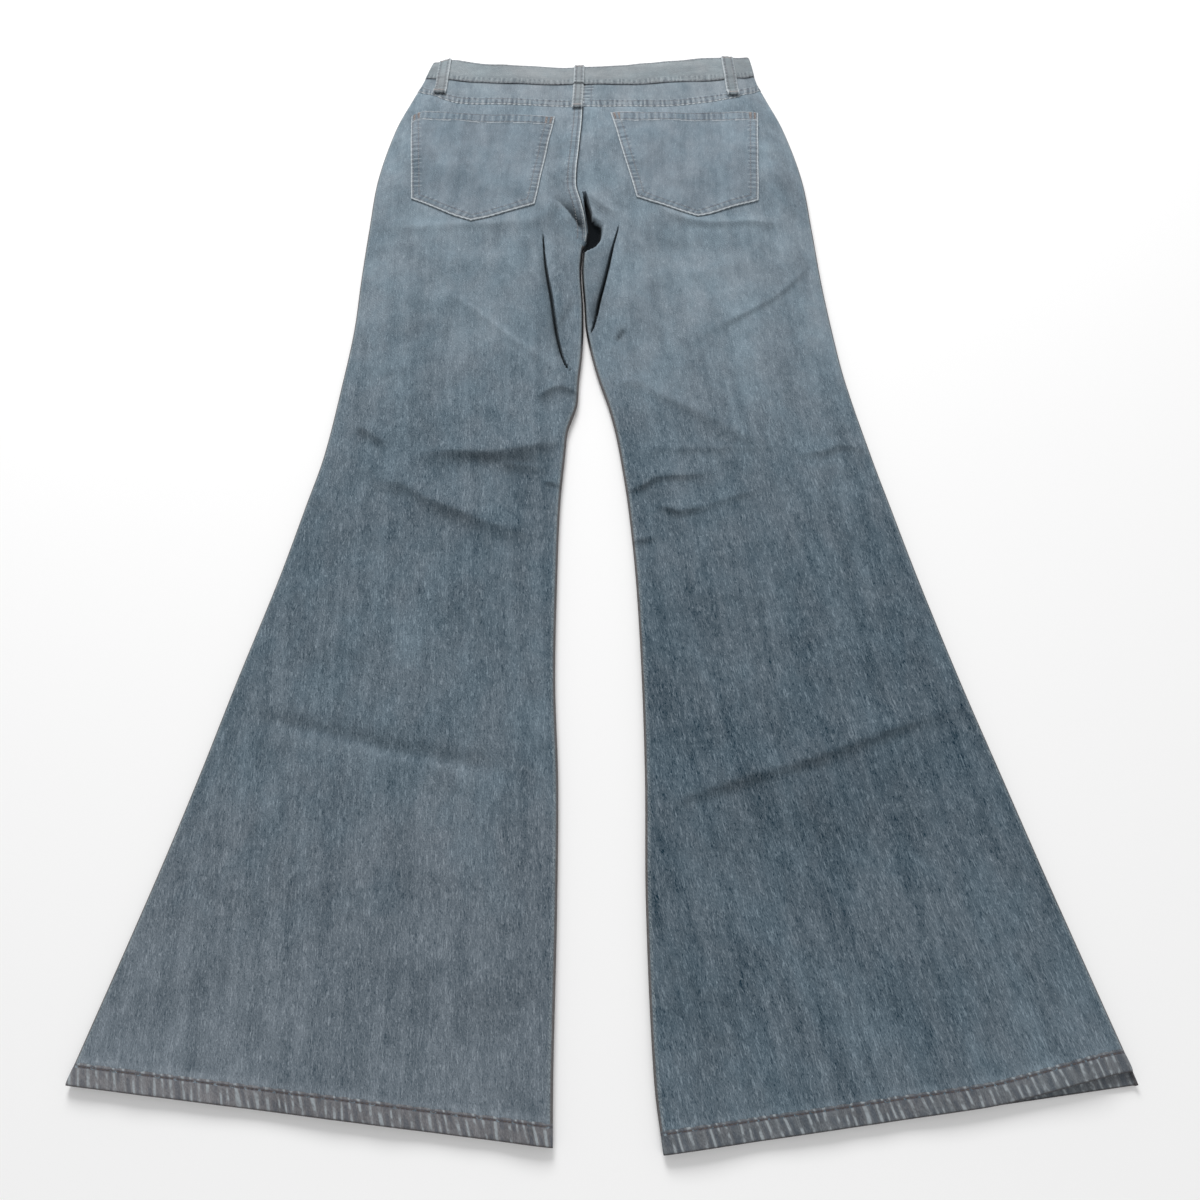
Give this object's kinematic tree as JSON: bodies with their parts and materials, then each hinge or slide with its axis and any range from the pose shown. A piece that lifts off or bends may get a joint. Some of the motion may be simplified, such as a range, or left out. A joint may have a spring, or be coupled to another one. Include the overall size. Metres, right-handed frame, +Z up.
{
  "type": "flared jeans",
  "caption": "Flared denim jeans laid flat face down, back up, with yoke, waistband, belt loops, patch back pockets and wide hemmed legs.",
  "frame": {"origin": "centre of the bounding box on the surface that the jeans lie on", "axes": "+Y along the legs from the hems to the waist, +X from the wearer's left leg to the right leg, +Z up off the surface; the back is up"},
  "size_m": [0.697, 1.0859, 0.0201],
  "materials": {
    "denim_leg": "washed mid blue denim with pale slubs along the grain",
    "denim_seat": "washed light blue denim, worn paler over the seat",
    "denim_trim": "washed light denim in several layers, edges rubbed pale",
    "denim_hem": "folded denim hem with puckered roping",
    "button_metal": "dull steel with a plain domed face"
  },
  "bodies": {
    "root": {"front_left": "denim_leg", "front_right": "denim_leg", "back_left": "denim_leg", "back_right": "denim_leg", "pocket_facing_left": "denim_seat", "pocket_facing_right": "denim_seat", "yoke_left": "denim_seat", "yoke_right": "denim_seat", "back_pocket_left": "denim_seat", "back_pocket_right": "denim_seat", "waistband": "denim_trim", "belt_loop_centre_back": "denim_trim", "belt_loop_back_left": "denim_trim", "belt_loop_back_right": "denim_trim", "belt_loop_front_left": "denim_trim", "belt_loop_front_right": "denim_trim", "hem_left": "denim_hem", "hem_right": "denim_hem", "waist_button": "button_metal"}
  },
  "joints": []
}
